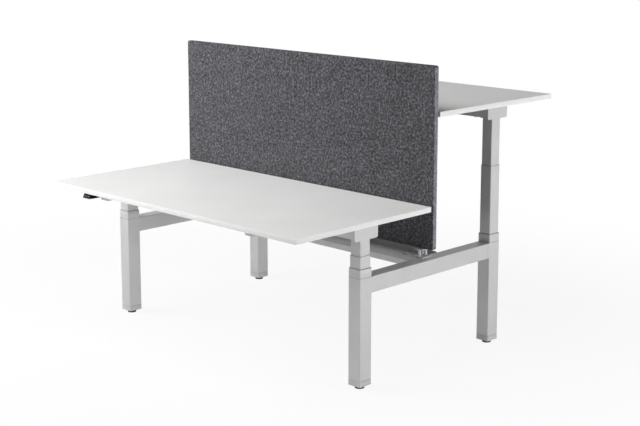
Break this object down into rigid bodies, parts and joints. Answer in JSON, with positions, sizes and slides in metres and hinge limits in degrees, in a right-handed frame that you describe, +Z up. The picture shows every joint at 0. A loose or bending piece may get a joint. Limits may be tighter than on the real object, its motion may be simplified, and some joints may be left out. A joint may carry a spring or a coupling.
{
  "type": "height-adjustable desk",
  "caption": "Electric sit-stand bench with back-to-back white desk tops on telescopic silver-grey legs, a felt screen and a cable tray between them",
  "frame": {"origin": "on the floor at the centre of the bench, under the felt screen", "axes": "+X along the desks to the right end, -Y towards the front desk's user, +Z up"},
  "size_m": [1.6, 1.654, 1.302],
  "materials": {
    "frame_coat": "fine matt silver-grey powder coat",
    "white_board": "particle board with a satin white melamine face and edge",
    "screen_felt": "charcoal melange wool felt",
    "foot_plastic": "dark moulded nylon",
    "cap_plastic": "moulded, silver grey",
    "glide_plastic": "dark moulded acetal",
    "screw_steel": "bright rolled steel",
    "motor_steel": "black lacquer",
    "handset_plastic": "black moulded ABS",
    "box_plastic": "black moulded ABS, fine texture"
  },
  "bodies": {
    "stand": {"front_left_leg_tube": "frame_coat", "front_right_leg_tube": "frame_coat", "rear_left_leg_tube": "frame_coat", "rear_right_leg_tube": "frame_coat", "left_crossbar": "frame_coat", "right_crossbar": "frame_coat", "foot_caps": "cap_plastic", "front_left_outer_tube": "frame_coat", "front_right_outer_tube": "frame_coat", "rear_left_outer_tube": "frame_coat", "rear_right_outer_tube": "frame_coat", "outer_glides": "glide_plastic", "fixed_screws": "screw_steel", "cable_tray": "frame_coat", "tray_walls": "frame_coat", "frame_bolts": "screw_steel", "privacy_screen": "screen_felt", "screen_brackets": "frame_coat"},
    "front_desk": {"front_top": "white_board", "front_top_frame": "frame_coat", "front_left_head": "frame_coat", "front_right_head": "frame_coat", "front_left_inner_tube": "frame_coat", "front_right_inner_tube": "frame_coat", "front_left_motor": "motor_steel", "front_right_motor": "motor_steel", "front_control_box": "box_plastic", "front_handset": "handset_plastic"},
    "front_left_middle_stage": {"front_left_middle_tube": "frame_coat", "front_left_stage_fittings": "glide_plastic"},
    "front_left_turning_nut": {"front_left_drive_nut": "screw_steel"},
    "front_left_turning_screw": {"front_left_lift_screw": "screw_steel"},
    "front_left_foot": {"front_left_levelling_foot": "foot_plastic"},
    "front_right_middle_stage": {"front_right_middle_tube": "frame_coat", "front_right_stage_fittings": "glide_plastic"},
    "front_right_turning_nut": {"front_right_drive_nut": "screw_steel"},
    "front_right_turning_screw": {"front_right_lift_screw": "screw_steel"},
    "front_right_foot": {"front_right_levelling_foot": "foot_plastic"},
    "front_key": {"front_handset_paddle": "handset_plastic"},
    "rear_desk": {"rear_top": "white_board", "rear_top_frame": "frame_coat", "rear_left_head": "frame_coat", "rear_right_head": "frame_coat", "rear_left_inner_tube": "frame_coat", "rear_right_inner_tube": "frame_coat", "rear_left_motor": "motor_steel", "rear_right_motor": "motor_steel", "rear_control_box": "box_plastic", "rear_handset": "handset_plastic"},
    "rear_left_middle_stage": {"rear_left_middle_tube": "frame_coat", "rear_left_stage_fittings": "glide_plastic"},
    "rear_left_turning_nut": {"rear_left_drive_nut": "screw_steel"},
    "rear_left_turning_screw": {"rear_left_lift_screw": "screw_steel"},
    "rear_left_foot": {"rear_left_levelling_foot": "foot_plastic"},
    "rear_right_middle_stage": {"rear_right_middle_tube": "frame_coat", "rear_right_stage_fittings": "glide_plastic"},
    "rear_right_turning_nut": {"rear_right_drive_nut": "screw_steel"},
    "rear_right_turning_screw": {"rear_right_lift_screw": "screw_steel"},
    "rear_right_foot": {"rear_right_levelling_foot": "foot_plastic"},
    "rear_key": {"rear_handset_paddle": "handset_plastic"}
  },
  "joints": [
    {"name": "front_lift", "type": "slide", "parent": "stand", "child": "front_desk", "axis": [0, 0, 1], "range_m": [-0.054, 0.546]},
    {"name": "front_left_stage", "type": "slide", "parent": "stand", "child": "front_left_middle_stage", "axis": [0, 0, 1], "range_m": [-0.0352, 0.3515]},
    {"name": "front_left_nut_turn", "type": "hinge", "parent": "front_left_middle_stage", "child": "front_left_turning_nut", "pos_m": [-0.763, -0.425, 0.2], "axis": [0, 0, 1], "range_deg": [-1394, 14046]},
    {"name": "front_left_screw_turn", "type": "hinge", "parent": "front_desk", "child": "front_left_turning_screw", "pos_m": [-0.763, -0.425, 0.3], "axis": [0, 0, 1], "range_deg": [-1394, 14046]},
    {"name": "front_left_foot_screw", "type": "slide", "parent": "stand", "child": "front_left_foot", "axis": [0, 0, -1], "range_m": [0, 0.012]},
    {"name": "front_right_stage", "type": "slide", "parent": "stand", "child": "front_right_middle_stage", "axis": [0, 0, 1], "range_m": [-0.0352, 0.3515]},
    {"name": "front_right_nut_turn", "type": "hinge", "parent": "front_right_middle_stage", "child": "front_right_turning_nut", "pos_m": [0.763, -0.425, 0.2], "axis": [0, 0, 1], "range_deg": [-1394, 14046]},
    {"name": "front_right_screw_turn", "type": "hinge", "parent": "front_desk", "child": "front_right_turning_screw", "pos_m": [0.763, -0.425, 0.3], "axis": [0, 0, 1], "range_deg": [-1394, 14046]},
    {"name": "front_right_foot_screw", "type": "slide", "parent": "stand", "child": "front_right_foot", "axis": [0, 0, -1], "range_m": [0, 0.012]},
    {"name": "front_key_tilt", "type": "hinge", "parent": "front_desk", "child": "front_key", "pos_m": [-0.552, -0.802, 0.674], "axis": [1, 0, 0], "range_deg": [-3, 3], "stiffness_Nm_per_rad": 0.2},
    {"name": "rear_lift", "type": "slide", "parent": "stand", "child": "rear_desk", "axis": [0, 0, 1], "range_m": [-0.455, 0.145]},
    {"name": "rear_left_stage", "type": "slide", "parent": "stand", "child": "rear_left_middle_stage", "axis": [0, 0, 1], "range_m": [-0.293, 0.0937]},
    {"name": "rear_left_nut_turn", "type": "hinge", "parent": "rear_left_middle_stage", "child": "rear_left_turning_nut", "pos_m": [-0.763, 0.425, 0.2], "axis": [0, 0, 1], "range_deg": [-11706, 3734]},
    {"name": "rear_left_screw_turn", "type": "hinge", "parent": "rear_desk", "child": "rear_left_turning_screw", "pos_m": [-0.763, 0.425, 0.3], "axis": [0, 0, 1], "range_deg": [-11706, 3734]},
    {"name": "rear_left_foot_screw", "type": "slide", "parent": "stand", "child": "rear_left_foot", "axis": [0, 0, -1], "range_m": [0, 0.012]},
    {"name": "rear_right_stage", "type": "slide", "parent": "stand", "child": "rear_right_middle_stage", "axis": [0, 0, 1], "range_m": [-0.293, 0.0937]},
    {"name": "rear_right_nut_turn", "type": "hinge", "parent": "rear_right_middle_stage", "child": "rear_right_turning_nut", "pos_m": [0.763, 0.425, 0.2], "axis": [0, 0, 1], "range_deg": [-11706, 3734]},
    {"name": "rear_right_screw_turn", "type": "hinge", "parent": "rear_desk", "child": "rear_right_turning_screw", "pos_m": [0.763, 0.425, 0.3], "axis": [0, 0, 1], "range_deg": [-11706, 3734]},
    {"name": "rear_right_foot_screw", "type": "slide", "parent": "stand", "child": "rear_right_foot", "axis": [0, 0, -1], "range_m": [0, 0.012]},
    {"name": "rear_key_tilt", "type": "hinge", "parent": "rear_desk", "child": "rear_key", "pos_m": [0.552, 0.802, 1.075], "axis": [-1, 0, 0], "range_deg": [-3, 3], "stiffness_Nm_per_rad": 0.2}
  ],
  "couplings": [
    {"joint": "front_left_stage", "follows": "front_lift", "ratio": 0.64286},
    {"joint": "front_left_nut_turn", "follows": "front_lift", "rad_per_m": 448.8},
    {"joint": "front_left_screw_turn", "follows": "front_lift", "rad_per_m": 448.8},
    {"joint": "front_right_stage", "follows": "front_lift", "ratio": 0.64286},
    {"joint": "front_right_nut_turn", "follows": "front_lift", "rad_per_m": 448.8},
    {"joint": "front_right_screw_turn", "follows": "front_lift", "rad_per_m": 448.8},
    {"joint": "rear_left_stage", "follows": "rear_lift", "ratio": 0.64286},
    {"joint": "rear_left_nut_turn", "follows": "rear_lift", "rad_per_m": 448.8},
    {"joint": "rear_left_screw_turn", "follows": "rear_lift", "rad_per_m": 448.8},
    {"joint": "rear_right_stage", "follows": "rear_lift", "ratio": 0.64286},
    {"joint": "rear_right_nut_turn", "follows": "rear_lift", "rad_per_m": 448.8},
    {"joint": "rear_right_screw_turn", "follows": "rear_lift", "rad_per_m": 448.8}
  ]
}
